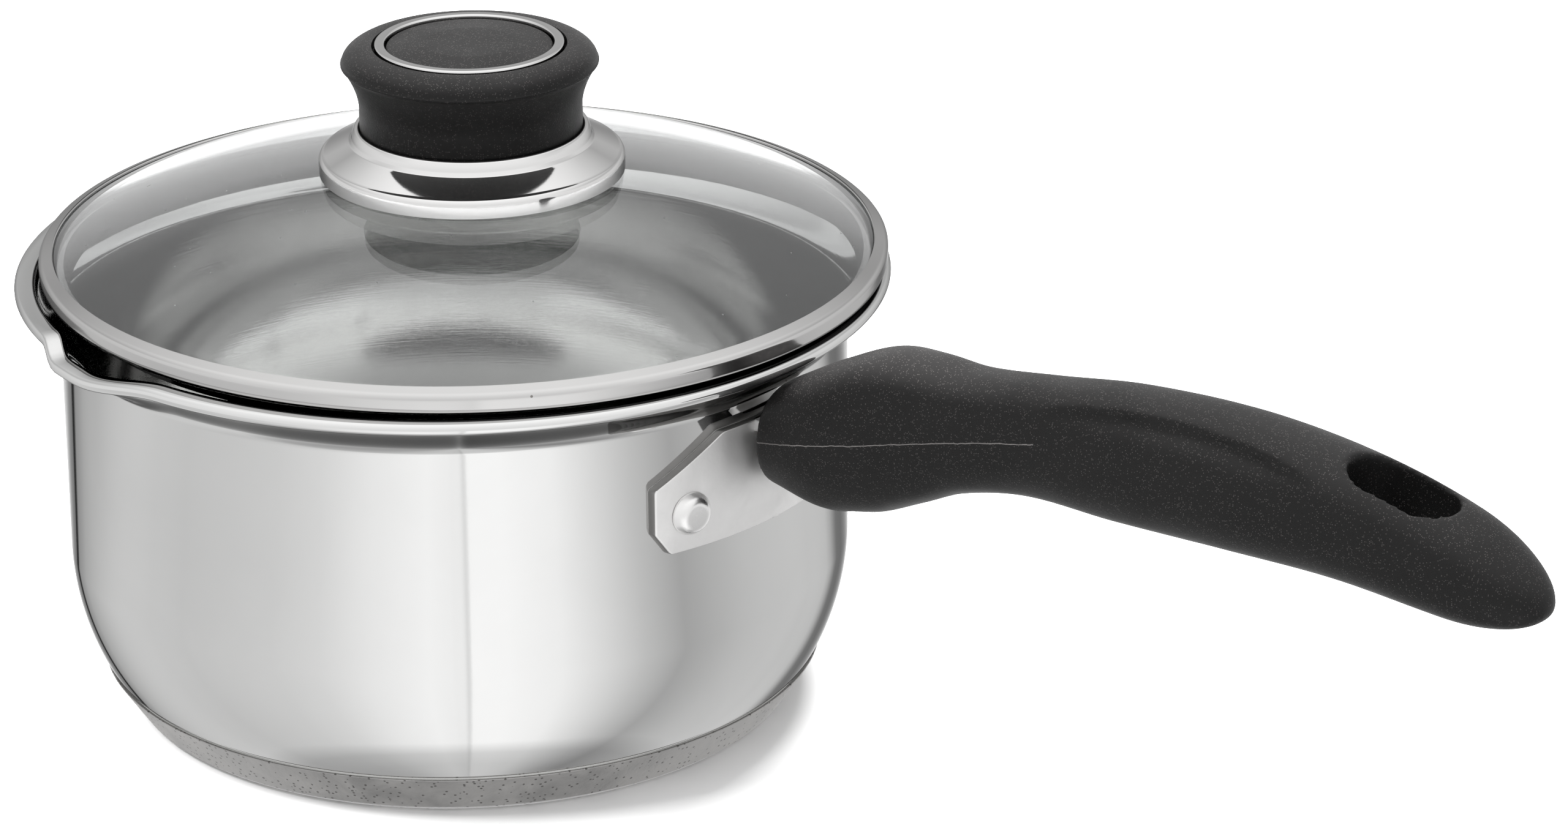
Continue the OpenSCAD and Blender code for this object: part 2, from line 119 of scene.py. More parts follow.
def add_camera():
    """The camera, from its place and the directions of its right and up."""
    data = bpy.data.cameras.new("camera")
    data.lens = LENS_MM
    data.sensor_width = SENSOR_MM
    camera = bpy.data.objects.new("camera", data)
    back = CAMERA_RIGHT.cross(CAMERA_UP)
    camera.matrix_world = Matrix((
        (CAMERA_RIGHT.x, CAMERA_UP.x, back.x, CAMERA_AT.x),
        (CAMERA_RIGHT.y, CAMERA_UP.y, back.y, CAMERA_AT.y),
        (CAMERA_RIGHT.z, CAMERA_UP.z, back.z, CAMERA_AT.z),
        (0, 0, 0, 1)))
    scene.collection.objects.link(camera)
    scene.camera = camera


def add_area(name, place, target, size, power):
    """A round lamp that lights diffuse surfaces only, so that mirror steel and glass show just the studio."""
    data = bpy.data.lights.new(name, "AREA")
    data.shape = "DISK"
    data.size = size
    data.energy = power
    light = bpy.data.objects.new(name, data)
    light.location = place
    light.rotation_euler = (Vector(target) - Vector(place)).to_track_quat("-Z", "Y").to_euler()
    light.visible_glossy = False
    light.visible_transmission = False
    scene.collection.objects.link(light)


def add(tree, kind, wires=None, **settings):
    """A new node. wires gives its inputs, each a socket to link or a plain value."""
    made = tree.nodes.new(kind)
    for key, value in settings.items():
        setattr(made, key, value)
    for key, value in (wires or {}).items():
        socket = made.inputs[key]
        if isinstance(value, bpy.types.NodeSocket):
            tree.links.new(value, socket)
        else:
            socket.default_value = value
    return made


def maths(tree, operation, *values):
    """The result of a Math node on one or two sockets or plain values."""
    return add(tree, "ShaderNodeMath", dict(enumerate(values)), operation=operation).outputs[0]


def mapped(tree, value, low, high, to_low=0.0, to_high=1.0, ease="LINEAR"):
    """A value between low and high brought between to_low and to_high."""
    wires = {"Value": value, "From Min": low, "From Max": high, "To Min": to_low, "To Max": to_high}
    return add(tree, "ShaderNodeMapRange", wires, interpolation_type=ease).outputs[0]


def split(tree, vector):
    """The X, Y and Z outputs of a vector."""
    return add(tree, "ShaderNodeSeparateXYZ", {"Vector": vector}).outputs


def mixed(tree, factor, a, b, blend_type="MIX"):
    """Colour socket a where factor is 0, and b where it is 1."""
    wires = {"Factor": factor, "A": a, "B": b}
    return add(tree, "ShaderNodeMix", wires, data_type="RGBA", blend_type=blend_type).outputs["Result"]


def ramp(tree, factor, stops):
    """Colour ramp over (place, grey or colour) stops."""
    made = add(tree, "ShaderNodeValToRGB", {"Fac": factor})
    elements = made.color_ramp.elements
    while len(elements) < len(stops):
        elements.new(0.5)
    for element, (place, tone) in zip(elements, stops):
        element.position = place
        element.color = (tone, tone, tone, 1) if isinstance(tone, (int, float)) else (*tone, 1)
    return made.outputs["Color"]


# Brightness round the studio low down, as (degrees from straight ahead, light), on each side
LOW_LIGHT_LEFT = [(0, 1.3), (9, 1.25), (15, 0.95), (20, 0.66), (23.5, 0.6), (24.5, 0.05), (26.5, 0.05),
                  (28, 0.9), (36, 1.1), (60, 0.92), (78, 0.78), (92, 0.72), (110, 0.75), (125, 0.79),
                  (140, 0.88), (156, 1.05), (173, 1.18), (179, 1.14)]
LOW_LIGHT_RIGHT = [(0, 1.3), (9, 1.05), (14, 0.8), (22, 0.5), (28, 0.5), (34, 1.0), (38, 1.14), (52, 0.9),
                   (68, 0.76), (84, 0.66), (108, 0.48), (122, 0.68), (132, 0.86), (148, 1.14), (164, 1.24),
                   (174.6, 1.24), (175.2, 0.9), (176.0, 0.9), (176.6, 1.12), (179, 1.12)]
# Brightness high up straight ahead and straight behind the camera, as (sine of the height, light)
HIGH_AHEAD = [(0.0, 0.85), (0.25, 0.85), (0.42, 0.58), (0.62, 0.8), (0.85, 1.15), (1.0, 1.25)]
HIGH_BEHIND = [(0.0, 0.95), (0.3, 1.0), (0.7, 1.1), (1.0, 1.25)]
# Brightness seen straight down, as (cosine of the dip, share of the low light)
DOWN_SHARE = [(0.0, 0.6), (0.3, 0.62), (0.42, 0.7), (0.52, 1.0), (1.0, 1.0)]
# Between these two the light behind passes into the light ahead, as parts of straight ahead
BEHIND_TO_AHEAD = (-0.6, 0.5)
# Between these two the low light passes into the high light, as sines of the height
LOW_TO_HIGH = (-0.33, -0.26)


def add_world():
    """The studio round the object: low light by direction, and high light by height."""
    world = bpy.data.worlds.new("studio")
    scene.world = world
    world.use_nodes = True
    tree = world.node_tree
    tree.nodes.clear()
    ahead = add(tree, "ShaderNodeVectorRotate", {
        "Vector": add(tree, "ShaderNodeTexCoord").outputs["Generated"],
        "Angle": -FORWARD_TURN}, rotation_type="Z_AXIS")
    parts = split(tree, ahead.outputs["Vector"])
    share = maths(tree, "MULTIPLY", maths(tree, "ARCTAN2", parts["Y"], parts["X"]), 1 / math.pi)
    left = ramp(tree, share, [(a / 180, v) for a, v in LOW_LIGHT_LEFT])
    right = ramp(tree, maths(tree, "MULTIPLY", share, -1), [(a / 180, v) for a, v in LOW_LIGHT_RIGHT])
    ring = mixed(tree, maths(tree, "GREATER_THAN", share, 0), right, left)
    level = maths(tree, "SUBTRACT", 1, maths(tree, "MULTIPLY", parts["Z"], parts["Z"]))
    down = ramp(tree, maths(tree, "POWER", level, 0.5), DOWN_SHARE)
    low = mixed(tree, 1.0, ring, down, "MULTIPLY")
    front = ramp(tree, parts["Z"], HIGH_AHEAD)
    behind = ramp(tree, parts["Z"], HIGH_BEHIND)
    high = mixed(tree, mapped(tree, parts["X"], *BEHIND_TO_AHEAD, ease="SMOOTHSTEP"), behind, front)
    both = mixed(tree, mapped(tree, parts["Z"], *LOW_TO_HIGH, ease="SMOOTHSTEP"), low, high)
    glow = add(tree, "ShaderNodeBackground", {"Color": both, "Strength": 1.0})
    add(tree, "ShaderNodeOutputWorld", {"Surface": glow.outputs[0]})


# ---- shared effects ----
def link(tree, socket, target):
    tree.links.new(socket, target)


def noise(tree, vector, scale, **shape):
    """Noise between 0 and 1."""
    return add(tree, "ShaderNodeTexNoise", {"Vector": vector, "Scale": scale, **shape}).outputs["Fac"]


def start_group(name, inputs, outputs):
    """A new shader node group with float inputs (name: default), a Vector input and float outputs."""
    tree = bpy.data.node_groups.new(name, "ShaderNodeTree")
    tree.interface.new_socket("Vector", in_out="INPUT", socket_type="NodeSocketVector")
    for key, value in inputs.items():
        socket = tree.interface.new_socket(key, in_out="INPUT", socket_type="NodeSocketFloat")
        socket.default_value = value
    for key in outputs:
        tree.interface.new_socket(key, in_out="OUTPUT", socket_type="NodeSocketFloat")
    return tree, tree.nodes.new("NodeGroupInput").outputs, tree.nodes.new("NodeGroupOutput").inputs


def make_grain():
    """Fine even grain: a height and a wandering tone."""
    tree, given, out = start_group("grain", {"Scale": 900.0}, ["Height", "Tone"])
    link(tree, noise(tree, given["Vector"], given["Scale"], Detail=2.0), out["Height"])
    wide = maths(tree, "MULTIPLY", given["Scale"], 0.04)
    link(tree, noise(tree, given["Vector"], wide, Detail=3.0), out["Tone"])
    return tree


def make_brushed():
    """Short brush lines that run round the Z axis."""
    tree, given, out = start_group("brushed", {"Scale": 60.0}, ["Height"])
    flat = add(tree, "ShaderNodeVectorMath", {0: given["Vector"], 1: (1.0, 1.0, 45.0)}, operation="MULTIPLY")
    link(tree, noise(tree, flat.outputs[0], given["Scale"], Detail=4.0, Roughness=0.7), out["Height"])
    return tree


def make_specks():
    """Sparse small dots, 1 inside a dot and 0 outside, in a share of the cells."""
    tree, given, out = start_group("specks", {"Scale": 300.0, "Size": 0.12, "Share": 0.2}, ["Mask"])
    cells = add(tree, "ShaderNodeTexVoronoi", {"Vector": given["Vector"], "Scale": given["Scale"]})
    near = maths(tree, "LESS_THAN", cells.outputs["Distance"], given["Size"])
    pick = add(tree, "ShaderNodeSeparateColor", {"Color": cells.outputs["Color"]})
    some = maths(tree, "LESS_THAN", pick.outputs[0], given["Share"])
    link(tree, maths(tree, "MULTIPLY", near, some), out["Mask"])
    return tree


def make_smudge():
    """Large soft patches, 0 to 1."""
    tree, given, out = start_group("smudge", {"Scale": 20.0, "Contrast": 0.3}, ["Mask"])
    cloud = noise(tree, given["Vector"], given["Scale"], Detail=5.0, Roughness=0.6, Distortion=0.4)
    low = maths(tree, "SUBTRACT", 0.5, given["Contrast"])
    high = maths(tree, "ADD", 0.5, given["Contrast"])
    link(tree, mapped(tree, cloud, low, high), out["Mask"])
    return tree


GRAIN = make_grain()
BRUSHED = make_brushed()
SPECKS = make_specks()
SMUDGE = make_smudge()


def effect(tree, group, **wires):
    """The outputs of a shared effect placed in a material."""
    made = add(tree, "ShaderNodeGroup", node_tree=group)
    for key, value in wires.items():
        if isinstance(value, bpy.types.NodeSocket):
            link(tree, value, made.inputs[key])
        else:
            made.inputs[key].default_value = value
    return made.outputs


def start_material(name, **plain):
    """A material with a Principled shader whose plain sockets are set, and its Object coordinates."""
    material = bpy.data.materials.new(name)
    material.use_nodes = True
    tree = material.node_tree
    tree.nodes.clear()
    shader = add(tree, "ShaderNodeBsdfPrincipled", {key.replace("_", " "): v for key, v in plain.items()})
    add(tree, "ShaderNodeOutputMaterial", {"Surface": shader.outputs[0]})
    place = add(tree, "ShaderNodeTexCoord").outputs["Object"]
    return material, tree, shader.inputs, place


def scaled(tree, value, low, high):
    """A 0 to 1 value brought between low and high."""
    return mapped(tree, value, 0.0, 1.0, low, high)


def blended(tree, factor, a, b):
    """Colour a where factor is 0, and b where it is 1, and further past b above 1."""
    made = add(tree, "ShaderNodeMix", {"Factor": factor}, data_type="RGBA", clamp_factor=False)
    for socket, tone in ((made.inputs["A"], a), (made.inputs["B"], b)):
        if isinstance(tone, bpy.types.NodeSocket):
            link(tree, tone, socket)
        else:
            socket.default_value = (*tone, 1)
    return made.outputs["Result"]


def bumped(tree, height, strength, distance, under=None):
    wires = {"Height": height, "Strength": strength, "Distance": distance}
    if under is not None:
        wires["Normal"] = under
    return add(tree, "ShaderNodeBump", wires).outputs["Normal"]


# ---- materials ----
EDGE_TONE = (0.36, 0.36, 0.36)    # how bright polished steel stays at a glancing angle
SHADE_TONE = (0.03, 0.03, 0.03)   # painted shade: polished steel painted near black where it lies in a deep gap
FLOOR_TO_WALL = (8 * MM, 30 * MM)   # heights between which the pan's inner floor turns into its wall
NEAR_RUN = 25 * MM   # how far the stronger painted highlight on the handle's front fades out
SEAM_WANDER = 0.25 * MM
SEAM_HALF_W = 0.09 * MM


def polished_steel(name, light, dark, rough, shade_z=None):
    """Mirror steel with faint brush lines, smudges and a few specks, with painted shade below shade_z."""
    material, tree, shader, place = start_material(name, Metallic=1.0)
    shader["Specular Tint"].default_value = (*EDGE_TONE, 1)
    smudge = effect(tree, SMUDGE, Vector=place, Scale=26.0, Contrast=0.22)["Mask"]
    link(tree, scaled(tree, smudge, rough, rough * 1.8), shader["Roughness"])
    specks = effect(tree, SPECKS, Vector=place, Scale=260.0, Size=0.07, Share=0.05)["Mask"]
    tone = blended(tree, smudge, light, tuple(0.96 * v for v in light))
    marked = blended(tree, specks, tone, dark)
    if shade_z is not None:
        # Painted shade: below shade_z the steel is painted near black to stand in for the gap's shadow.
        under = maths(tree, "LESS_THAN", split(tree, place)["Z"], shade_z)
        marked = blended(tree, under, marked, SHADE_TONE)
    link(tree, marked, shader["Base Color"])
    lines = effect(tree, BRUSHED, Vector=place, Scale=70.0)["Height"]
    fine = effect(tree, GRAIN, Vector=place, Scale=1100.0)["Height"]
    first = bumped(tree, lines, 0.04, 0.02 * MM)
    link(tree, bumped(tree, fine, 0.05, 0.02 * MM, first), shader["Normal"])
    return material


def brushed_steel():
    """Satin steel of the pan's inside, brushed round its axis."""
    material, tree, shader, place = start_material("inner_steel", Metallic=1.0)
    smudge = effect(tree, SMUDGE, Vector=place, Scale=35.0, Contrast=0.25)["Mask"]
    rise = mapped(tree, split(tree, place)["Z"], *FLOOR_TO_WALL)
    rough = maths(tree, "ADD", scaled(tree, rise, 0.07, 0.0), scaled(tree, smudge, 0.04, 0.07))
    link(tree, rough, shader["Roughness"])
    plain = blended(tree, rise, (0.96, 0.96, 0.95), (0.7, 0.7, 0.695))
    worn = blended(tree, rise, (0.9, 0.9, 0.89), (0.62, 0.62, 0.615))
    link(tree, blended(tree, smudge, plain, worn), shader["Base Color"])
    lines = effect(tree, BRUSHED, Vector=place, Scale=60.0)["Height"]
    link(tree, bumped(tree, lines, 0.12, 0.05 * MM), shader["Normal"])
    return material


def phenolic(name, line=None, near=None):
    """Matte black moulded phenolic: fine sparkle, stray pale specks, and painted light that makes what faces
    up lighter.

    line is a mould line's two ends, and the painted highlight is stronger where X is below near.
    """
    material, tree, shader, place = start_material(name, Metallic=0.0)
    shader["Specular IOR Level"].default_value = 0.22
    fine = effect(tree, GRAIN, Vector=place, Scale=2600.0)
    cloud = effect(tree, SMUDGE, Vector=place, Scale=55.0, Contrast=0.3)["Mask"]
    facing = split(tree, add(tree, "ShaderNodeNewGeometry").outputs["Normal"])
    # Painted light: faces that point up are painted lighter than the sides, as if lit from above.
    level = mapped(tree, facing["Z"], 0.5, 1.0, ease="SMOOTHSTEP")
    if near is not None:
        # Painted highlight: the painted light is stronger towards the handle's front and fades out over
        # NEAR_RUN.
        share = mapped(tree, split(tree, place)["X"], near, near + NEAR_RUN, 3.6, 1.0)
        level = maths(tree, "MULTIPLY", level, share)
    painted_top_light = blended(tree, cloud, (0.0068, 0.0065, 0.0065), (0.01, 0.0096, 0.0096))
    side_tone = blended(tree, cloud, (0.0028, 0.0027, 0.0027), (0.0045, 0.0043, 0.0043))
    base = blended(tree, level, side_tone, painted_top_light)
    sparkle = effect(tree, SPECKS, Vector=place, Scale=3200.0, Size=0.36, Share=0.25)["Mask"]
    # The sparkle is also painted lighter on faces that point up.
    bright = blended(tree, level, (0.026, 0.024, 0.0235), (0.042, 0.039, 0.038))
    grainy = blended(tree, sparkle, base, bright)
    stray = effect(tree, SPECKS, Vector=place, Scale=150.0, Size=0.05, Share=0.03)["Mask"]
    marked = blended(tree, stray, grainy, (0.4, 0.39, 0.38))
    if line is not None:
        marked = blended(tree, seam_mask(tree, place, *line), marked, (0.09, 0.085, 0.083))
    link(tree, marked, shader["Base Color"])
    link(tree, scaled(tree, fine["Tone"], 0.36, 0.54), shader["Roughness"])
    link(tree, bumped(tree, fine["Height"], 0.45, 0.08 * MM), shader["Normal"])
    return material


def seam_mask(tree, place, start, end):
    """1 along a thin wandering line between two (x, z) points, 0 elsewhere."""
    parts = split(tree, place)
    straight = mapped(tree, parts["X"], start[0], end[0], start[1], end[1])
    wander = effect(tree, GRAIN, Vector=place, Scale=500.0)["Height"]
    level = maths(tree, "ADD", straight, scaled(tree, wander, -SEAM_WANDER, SEAM_WANDER))
    off = maths(tree, "ABSOLUTE", maths(tree, "SUBTRACT", parts["Z"], level))
    near = maths(tree, "LESS_THAN", off, SEAM_HALF_W)
    return maths(tree, "MULTIPLY", near, maths(tree, "LESS_THAN", parts["X"], end[0]))


def clear_glass():
    """Clear glass with a little dust, which lets lamps through to what is under it."""
    material, tree, shader, place = start_material("lid_glass", Metallic=0.0, Transmission_Weight=1.0)
    shader["IOR"].default_value = 1.5
    dust = effect(tree, SPECKS, Vector=place, Scale=420.0, Size=0.075, Share=0.06)["Mask"]
    smudge = effect(tree, SMUDGE, Vector=place, Scale=30.0, Contrast=0.25)["Mask"]
    link(tree, blended(tree, dust, (0.97, 0.98, 0.98), (0.75, 0.76, 0.76)), shader["Base Color"])
    film = scaled(tree, smudge, 0.004, 0.01)
    link(tree, maths(tree, "ADD", film, scaled(tree, dust, 0.0, 0.5)), shader["Roughness"])
    principled = next(n for n in tree.nodes if n.type == "BSDF_PRINCIPLED")
    output = next(n for n in tree.nodes if n.type == "OUTPUT_MATERIAL")
    clear = add(tree, "ShaderNodeBsdfTransparent", {"Color": (0.95, 0.97, 0.97, 1)})
    lamp = add(tree, "ShaderNodeLightPath").outputs["Is Shadow Ray"]
    either = add(tree, "ShaderNodeMixShader", {"Fac": lamp, 1: principled.outputs[0], 2: clear.outputs[0]})
    link(tree, either.outputs[0], output.inputs["Surface"])
    return material


def base_steel():
    """Dull pitted steel of the base cap, mottled and finely flecked."""
    material, tree, shader, place = start_material("base_steel", Metallic=1.0)
    mottle = effect(tree, SMUDGE, Vector=place, Scale=120.0, Contrast=0.2)["Mask"]
    pits = effect(tree, SPECKS, Vector=place, Scale=1100.0, Size=0.3, Share=0.35)["Mask"]
    tone = blended(tree, mottle, (0.34, 0.335, 0.33), (0.5, 0.49, 0.48))
    link(tree, blended(tree, pits, tone, (0.16, 0.155, 0.15)), shader["Base Color"])
    link(tree, scaled(tree, mottle, 0.34, 0.5), shader["Roughness"])
    fine = effect(tree, GRAIN, Vector=place, Scale=1300.0)["Height"]
    link(tree, bumped(tree, fine, 0.5, 0.1 * MM), shader["Normal"])
    return material


def satin_steel(name, tone, rough):
    """Flat satin steel with fine grain, faint dark marks and smudges."""
    material, tree, shader, place = start_material(name, Metallic=1.0)
    smudge = effect(tree, SMUDGE, Vector=place, Scale=90.0, Contrast=0.25)["Mask"]
    marks = effect(tree, SPECKS, Vector=place, Scale=500.0, Size=0.16, Share=0.05)["Mask"]
    base = blended(tree, smudge, tone, tuple(0.88 * v for v in tone))
    link(tree, blended(tree, marks, base, (0.1, 0.095, 0.09)), shader["Base Color"])
    link(tree, scaled(tree, smudge, rough, rough * 1.4), shader["Roughness"])
    fine = effect(tree, GRAIN, Vector=place, Scale=1500.0)["Height"]
    link(tree, bumped(tree, fine, 0.25, 0.05 * MM), shader["Normal"])
    return material


def rubber(name, tone, rough=0.6):
    """Moulded silicone with a woven-looking fine tooth."""
    material, tree, shader, place = start_material(name, Metallic=0.0)
    tooth = effect(tree, GRAIN, Vector=place, Scale=1800.0)
    link(tree, blended(tree, tooth["Tone"], tuple(0.6 * v for v in tone), tuple(1.3 * v for v in tone)),
         shader["Base Color"])
    link(tree, scaled(tree, tooth["Tone"], rough, rough + 0.15), shader["Roughness"])
    link(tree, bumped(tree, tooth["Height"], 0.6, 0.15 * MM), shader["Normal"])
    return material


def pale_floor():
    """Plain matte white with faint clouds."""
    material, tree, shader, place = start_material("pale_floor", Roughness=0.7)
    cloud = effect(tree, SMUDGE, Vector=place, Scale=1.5, Contrast=0.4)["Mask"]
    link(tree, blended(tree, cloud, (0.93, 0.93, 0.93), (0.95, 0.95, 0.95)), shader["Base Color"])
    return material


# ---- outlines ----
def rounded(corners, steps=6):
    """An open path of points whose corners (x, y, radius) are rounded off."""
    points = []
    for i, (x, y, radius) in enumerate(corners):
        here = Vector((x, y))
        if radius == 0:
            points.append(here)
            continue
        back = Vector(corners[i - 1][:2]) - here
        ahead = Vector(corners[i + 1][:2]) - here
        reach = min(radius / math.tan(back.angle(ahead) / 2), 0.49 * back.length, 0.49 * ahead.length)
        start = here + back.normalized() * reach
        end = here + ahead.normalized() * reach
        for k in range(steps + 1):
            t = k / steps
            points.append((1 - t) ** 2 * start + 2 * t * (1 - t) * here + t * t * end)
    return points


def arc(centre_x, centre_y, radius, start, end, steps):
    """Points on an arc between two angles in degrees."""
    turns = [math.radians(start + (end - start) * i / steps) for i in range(steps + 1)]
    return [Vector((centre_x + radius * math.cos(a), centre_y + radius * math.sin(a))) for a in turns]


def smooth(x):
    """0 up to x = 0 and 1 from x = 1, with a smooth rise between."""
    k = min(1, max(0, x))
    return k * k * (3 - 2 * k)


def shifted(path, distance):
    """The path moved to its left by a distance, mitred at its corners."""
    moved = []
    for i, here in enumerate(path):
        before = (here - path[i - 1]).normalized() if i else (path[1] - here).normalized()
        after = (path[i + 1] - here).normalized() if i < len(path) - 1 else before
        a = Vector((-before.y, before.x))
        b = Vector((-after.y, after.x))
        middle = (a + b).normalized()
        moved.append(here + middle * distance / max(0.5, middle.dot(a)))
    return moved


def evened(path, longest=0.6 * MM):
    """The path with points added so that no stretch of it is longer than a limit."""
    points = [path[0]]
    for here in path[1:]:
        last = points[-1]
        parts = max(1, math.ceil((here - last).length / longest))
        points += [last.lerp(here, i / parts) for i in range(1, parts + 1)]
    return points


def sheet(path, thickness):
    """Closed outline of a sheet laid on the left of an open path, with its ends rounded over."""
    far = shifted(path, thickness)
    end_out = (path[-1] - path[-2]).normalized() * thickness * 0.3
    start_out = (path[0] - path[1]).normalized() * thickness * 0.3
    tail = [(path[-1] + far[-1]) / 2 + end_out]
    head = [(path[0] + far[0]) / 2 + start_out]
    return path + tail + far[::-1] + head


# ---- making pieces ----
def finish_piece(bm, name, body, material, replaced=(), crease=35.0):
    """Make a piece of a finished bmesh: merged, facing outwards, smooth up to the crease angle."""
    bmesh.ops.remove_doubles(bm, verts=bm.verts, dist=MERGE)
    bmesh.ops.recalc_face_normals(bm, faces=bm.faces)
    mesh = bpy.data.meshes.new(name)
    bm.to_mesh(mesh)
    bm.free()
    mesh.shade_smooth()
    mesh.set_sharp_from_angle(angle=math.radians(crease))
    mesh.materials.append(material)
    piece = bpy.data.objects.new(name, mesh)
    scene.collection.objects.link(piece)
    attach(piece, body)
    if replaced:
        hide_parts(*replaced)
    return piece


def turned(outline, steps=ROUND, centre=(0, 0), closed=True):
    """A bmesh turned round a vertical axis from (radius, height) points."""
    bm = bmesh.new()
    turn_into(bm, outline, steps, centre, closed)
    return bm


def turn_into(bm, outline, steps, centre=(0, 0), closed=True):
    """Turn an outline round a vertical axis into a bmesh that may hold other shapes."""
    verts = [bm.verts.new((centre[0] + p[0], centre[1], p[1])) for p in outline]
    pairs = list(zip(verts, verts[1:]))
    if closed:
        pairs.append((verts[-1], verts[0]))
    edges = [bm.edges.new(pair) for pair in pairs]
    bmesh.ops.spin(bm, geom=verts + edges, cent=(*centre, 0), axis=(0, 0, 1), angle=FULL_TURN,
                   steps=steps, use_merge=True)
    bmesh.ops.remove_doubles(bm, verts=bm.verts, dist=MERGE)


def raise_faces(bm, faces, height):
    """Extrude faces straight up into a closed solid."""
    made = bmesh.ops.extrude_face_region(bm, geom=faces)["geom"]
    lifted = [g for g in made if isinstance(g, bmesh.types.BMVert)]
    bmesh.ops.translate(bm, verts=lifted, vec=(0, 0, height))
    bmesh.ops.recalc_face_normals(bm, faces=bm.faces)


# ---- pan ----
GROOVE_H = 0.8 * MM   # the groove between the base cap and the wall
GROOVE_IN = 0.42 * MM
CAP_FOOT_R = 68 * MM
LIP_R = 0.9 * MM      # the small turn at the inner side of the rim's bead
BELLY_A = math.asin((BELLY_Z - CAP_TOP - GROOVE_H) / BELLY_R)
GROOVE_R = BODY_R - BELLY_R * (1 - math.cos(BELLY_A))
CORNER_R = (CAP_TOP + GROOVE_H - FLOOR_Z) / (1 - math.sin(BELLY_A))
CORNER_X = GROOVE_R - CORNER_R * math.cos(BELLY_A)
CORNER_Z = FLOOR_Z + CORNER_R
BEAD_Z = PAN_TOP - BEAD_H
FLARE_Z = BEAD_Z - FLARE_H
BEAD_IN = RIM_R - BEAD_W
SPOUT_TURN = math.radians(-108)
SPOUT_OUT = 1.6 * MM
SPOUT_DIP = 2.5 * MM
SPOUT_START = 9.0   # degrees before its middle where the lip leaves the rim
SPOUT_KINK = 6.0     # degrees over which it drops
SPOUT_END = 17.0     # degrees past its middle where it is level again
SPOUT_RUN = 15.0     # degrees over which it rises


def corner_at(z):
    """Radius of the pan's lower corner at a height."""
    return CORNER_X + math.sqrt(CORNER_R ** 2 - (CORNER_Z - z) ** 2)


def wall_path(groove):
    """The wall from the middle of the floor to the foot of the flare."""
    deg = math.degrees(BELLY_A)
    low = arc(CORNER_X, CORNER_Z, CORNER_R, -90, -deg - 6, 10)
    if groove:
        edge = low[-1]
        low += [edge + Vector((-GROOVE_IN, 0.1 * MM)), edge + Vector((-GROOVE_IN, 0.55 * MM))]
    return [Vector((0, FLOOR_Z))] + low + arc(BODY_R - BELLY_R, BELLY_Z, BELLY_R, -deg, 0, 26)


def flare_side(r):
    """One side of the flare, which leaves the wall smoothly and meets the bead at a slope."""
    reach = BEAD_IN - BODY_R + WALL
    steps = 12
    return [Vector((r + reach * smooth(0.8 * i / steps) / smooth(0.8), FLARE_Z + FLARE_H * i / steps))
            for i in range(steps + 1)]


def spout_push(turn):
    """How strongly the spout acts at a turn about Z: a quick kink, then a slow run-out on the other side."""
    away = math.degrees((turn - SPOUT_TURN + math.pi) % FULL_TURN - math.pi)
    return smooth((away + SPOUT_START) / SPOUT_KINK) * smooth((SPOUT_END - away) / SPOUT_RUN)


def build_pan(material, inner):
    """The drawn pan with its flare, bead and pouring lip; its inner faces take the second material."""
    bead_r = BEAD_H / 2
    bead = arc(RIM_R - bead_r, BEAD_Z + bead_r, bead_r, -90, 64, 10)
    bead += arc(BEAD_IN + LIP_R, PAN_TOP - LIP_R, LIP_R, 84, 180, 6)
    inside = shifted(wall_path(False), WALL)[::-1]
    outline = wall_path(True) + flare_side(BODY_R)[1:] + bead + flare_side(BODY_R - WALL)[::-1] + inside[1:]
    inside[-1].x = 0
    bm = turned(outline, FINE_ROUND, closed=False)
    for v in bm.verts:
        push = spout_push(math.atan2(v.co.y, v.co.x)) if v.co.z > FLARE_Z else 0
        if push > 0:
            rise = smooth((v.co.z - FLARE_Z) / FLARE_H)
            away = Vector((v.co.x, v.co.y, 0)).normalized()
            v.co += away * SPOUT_OUT * push * rise
            v.co.z -= SPOUT_DIP * push * rise
    bmesh.ops.recalc_face_normals(bm, faces=bm.faces)
    for face in bm.faces:
        middle = face.calc_center_median()
        inwards = face.normal.dot(Vector((middle.x, middle.y, 0))) < 0 and middle.z < BEAD_Z
        if inwards or (face.normal.z > 0.3 and middle.z < BELLY_Z):
            face.material_index = 1
    piece = finish_piece(bm, "pan_shell", "pan", material, ["pan_body"], 40)
    piece.data.materials.append(inner)


def build_cap(material):
    turn_in = 1.2 * MM
    top_r = corner_at(CAP_TOP) + SEAT
    outline = rounded([
        (0, 0, 0), (CAP_FOOT_R - turn_in, 0, 1 * MM), (CAP_FOOT_R + CAP_T, turn_in, turn_in),
        (top_r + CAP_T, CAP_TOP, 0.35 * MM), (top_r, CAP_TOP, 0.1 * MM), (CAP_FOOT_R, CAP_T + 0.3 * MM, 0),
        (0, CAP_T, 0)])
    finish_piece(turned(outline, closed=False), "base_plate", "pan", material, ["base_cap"], 30)


# ---- bracket, rivets ----
BRACKET_T = 1.9 * MM
PLATE_IN = BODY_R + SEAT
WING_HALF = 31.3 * MM
WING_H = 22.6 * MM
TANG_T = 2.4 * MM
TANG_Z = WING_Z + WING_H - TANG_T
TANG_W = 14 * MM
TANG_LEN = 44 * MM
TANG_START = PLATE_IN + 0.6 * MM
RIVET_HALF = 23.1 * MM   # half the spacing of the rivets
RIVET_TURN = math.asin(RIVET_HALF / BODY_R)
RIVET_Z = WING_Z + 7.7 * MM
RIVET_R = 4.4 * MM
RIVET_H = 2.3 * MM
SHANK_R = 2 * MM
BUTTON_R = 4 * MM    # the rivet's flat head inside the pan
BUTTON_H = 1.2 * MM


